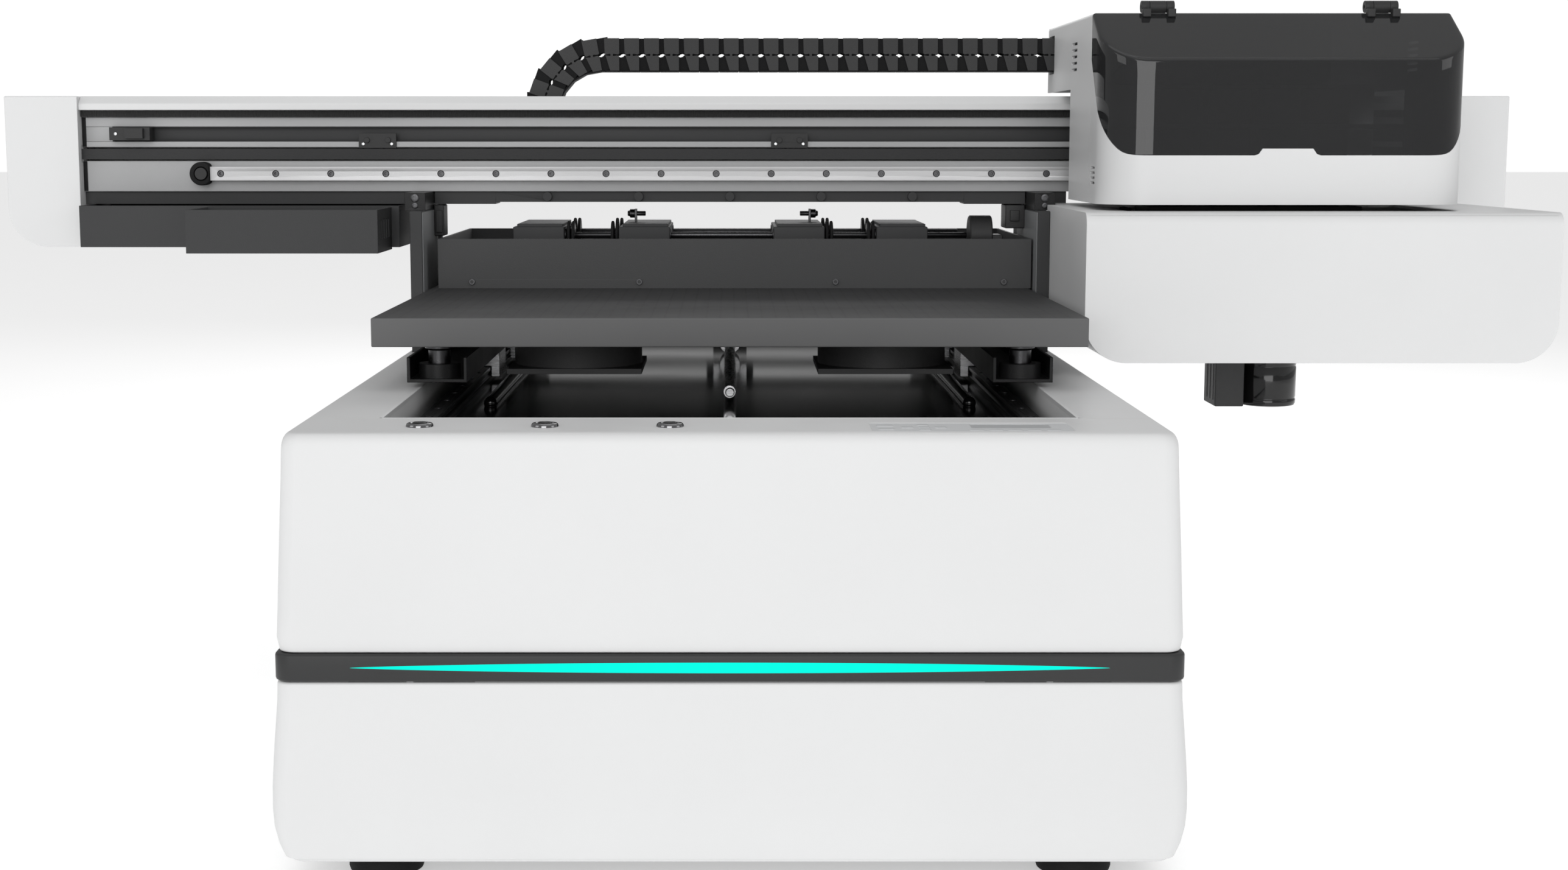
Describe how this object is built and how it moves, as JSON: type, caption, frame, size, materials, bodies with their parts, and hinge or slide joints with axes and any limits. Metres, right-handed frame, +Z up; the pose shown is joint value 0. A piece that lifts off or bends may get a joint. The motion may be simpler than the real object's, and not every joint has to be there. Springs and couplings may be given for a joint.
{
  "type": "flatbed uv printer",
  "caption": "Floor-standing flatbed ultraviolet printer with a sliding bed, bridge beam, travelling hooded print carriage, cable chain and rotary attachment.",
  "frame": {"origin": "on the floor under the middle of the machine's outline", "axes": "+X to the operator's right along the beam, +Y away from the operator along the bed's travel, +Z up"},
  "size_m": [1.63, 1.3112, 0.7255],
  "materials": {
    "white_paint": "satin",
    "dark_paint": "satin",
    "black_gloss": "gloss",
    "bed_grey": "matt",
    "black_steel": "satin",
    "frame_grey": "matt",
    "steel": "brushed",
    "rail_steel": "ground",
    "aluminium": "satin",
    "chrome": "polished",
    "rubber": "matt",
    "felt": "brushed fibre",
    "black_plastic": "fine grain",
    "white_plastic": "smooth",
    "cyan_light": "lit diffuser",
    "smoked": "smoked, polished",
    "board_green": "solder mask",
    "lamp_black": "anodised"
  },
  "bodies": {
    "frame": {"front_upper_cover": "white_paint", "upper_panels": "white_paint", "lower_cover": "white_paint", "light_band": "dark_paint", "light_strip": "cyan_light", "base_frame": "frame_grey", "levelling_feet": "rubber", "power_inlet": "black_plastic", "well_floor": "black_gloss", "y_rails": "black_steel", "drive_motors": "black_steel", "button_bezels": "chrome", "control_panel": "white_plastic", "uprights": "dark_paint", "gantry_brackets": "aluminium", "gantry_beam": "aluminium", "beam_top_cover": "white_paint", "felt_strip": "felt", "beam_lower_flange": "dark_paint", "x_rail": "rail_steel", "rail_bumpers": "rubber", "beam_clips": "steel", "x_belt": "rubber", "end_caps": "white_paint", "under_beam_tray": "dark_paint", "shield_tray": "dark_paint", "station_housing": "white_paint", "station_mounts": "aluminium", "waste_bottle": "black_plastic", "chain_trough": "black_steel"},
    "bed_carriage": {"bed_channels": "black_steel", "bed_bearings": "steel"},
    "bed": {"bed_plate": "bed_grey", "vacuum_fans": "black_plastic", "rotary_box": "black_steel", "rotary_supports": "black_plastic"},
    "fan_left": {"fan_rotor_left": "black_plastic"},
    "fan_right": {"fan_rotor_right": "black_plastic"},
    "front_roller": {"roller_front": "steel"},
    "rear_roller": {"roller_rear": "steel"},
    "bed_screw": {"y_screw": "steel"},
    "carriage": {"carriage_plate": "aluminium", "carriage_blocks": "steel", "print_heads": "steel", "ink_tanks": "white_plastic", "uv_lamps": "lamp_black", "circuit_board": "board_green", "hood_shell": "white_paint", "hood_front_panel": "white_paint", "hood_hinges": "black_plastic", "chain_upper_run": "black_plastic"},
    "lid": {"hood_lid": "smoked"},
    "chain_bend": {"chain_loop": "black_plastic"},
    "driver": {"drive_pulley": "aluminium"},
    "idler": {"idler_pulley": "aluminium"},
    "button_left": {"button_cap_left": "black_gloss"},
    "button_middle": {"button_cap_middle": "black_gloss"},
    "button_right": {"button_cap_right": "black_gloss"},
    "capper": {"capping_station": "black_plastic"},
    "wiper_slider": {"wiper": "rubber"}
  },
  "joints": [
    {"name": "bed_travel", "type": "slide", "parent": "frame", "child": "bed_carriage", "axis": [0, 1, 0], "range_m": [-0.47, 0.25]},
    {"name": "bed_lift", "type": "slide", "parent": "bed_carriage", "child": "bed", "axis": [0, 0, 1], "range_m": [-0.005, 0.003]},
    {"name": "screw_turn", "type": "hinge", "parent": "frame", "child": "bed_screw", "pos_m": [-0.029, -0.024, 0.35], "axis": [0, 1, 0], "continuous": true},
    {"name": "fan_spin_left", "type": "hinge", "parent": "bed", "child": "fan_left", "pos_m": [-0.172, -0.242, 0.39], "axis": [0, 0, 1], "continuous": true},
    {"name": "fan_spin_right", "type": "hinge", "parent": "bed", "child": "fan_right", "pos_m": [0.114, -0.242, 0.39], "axis": [0, 0, 1], "continuous": true},
    {"name": "roller_turn_front", "type": "hinge", "parent": "bed", "child": "front_roller", "pos_m": [-0.029, 0.126, 0.484], "axis": [1, 0, 0], "continuous": true},
    {"name": "roller_turn_rear", "type": "hinge", "parent": "bed", "child": "rear_roller", "pos_m": [-0.029, 0.226, 0.484], "axis": [1, 0, 0], "continuous": true},
    {"name": "carriage_travel", "type": "slide", "parent": "frame", "child": "carriage", "axis": [1, 0, 0], "range_m": [-0.9, 0], "deforming": ["chain_upper_run"]},
    {"name": "chain_travel", "type": "slide", "parent": "frame", "child": "chain_bend", "axis": [1, 0, 0], "range_m": [-0.45, 0]},
    {"name": "driver_turn", "type": "hinge", "parent": "frame", "child": "driver", "pos_m": [0.775, 0.116, 0.573], "axis": [0, 0, 1], "continuous": true},
    {"name": "idler_turn", "type": "hinge", "parent": "frame", "child": "idler", "pos_m": [-0.775, 0.116, 0.573], "axis": [0, 0, 1], "continuous": true},
    {"name": "lid_open", "type": "hinge", "parent": "carriage", "child": "lid", "pos_m": [0.509, -0.091, 0.7195], "axis": [-1, 0, 0], "range_deg": [0, 100]},
    {"name": "cap_lift", "type": "slide", "parent": "frame", "child": "capper", "axis": [0, 0, 1], "range_m": [-0.01, 0]},
    {"name": "wipe", "type": "slide", "parent": "frame", "child": "wiper_slider", "axis": [0, 1, 0], "range_m": [0, 0.1]},
    {"name": "press_left", "type": "slide", "parent": "frame", "child": "button_left", "axis": [0, 0, 1], "range_m": [-0.0015, 0], "stiffness_N_per_m": 600, "springref_m": 0.001},
    {"name": "press_middle", "type": "slide", "parent": "frame", "child": "button_middle", "axis": [0, 0, 1], "range_m": [-0.0015, 0], "stiffness_N_per_m": 600, "springref_m": 0.001},
    {"name": "press_right", "type": "slide", "parent": "frame", "child": "button_right", "axis": [0, 0, 1], "range_m": [-0.0015, 0], "stiffness_N_per_m": 600, "springref_m": 0.001}
  ],
  "couplings": [
    {"joint": "chain_travel", "follows": "carriage_travel", "ratio": 0.5},
    {"joint": "driver_turn", "follows": "carriage_travel", "rad_per_m": 78.125},
    {"joint": "idler_turn", "follows": "carriage_travel", "rad_per_m": 78.125},
    {"joint": "screw_turn", "follows": "bed_travel", "rad_per_m": 314.16},
    {"joint": "roller_turn_rear", "follows": "roller_turn_front", "ratio": 1}
  ]
}
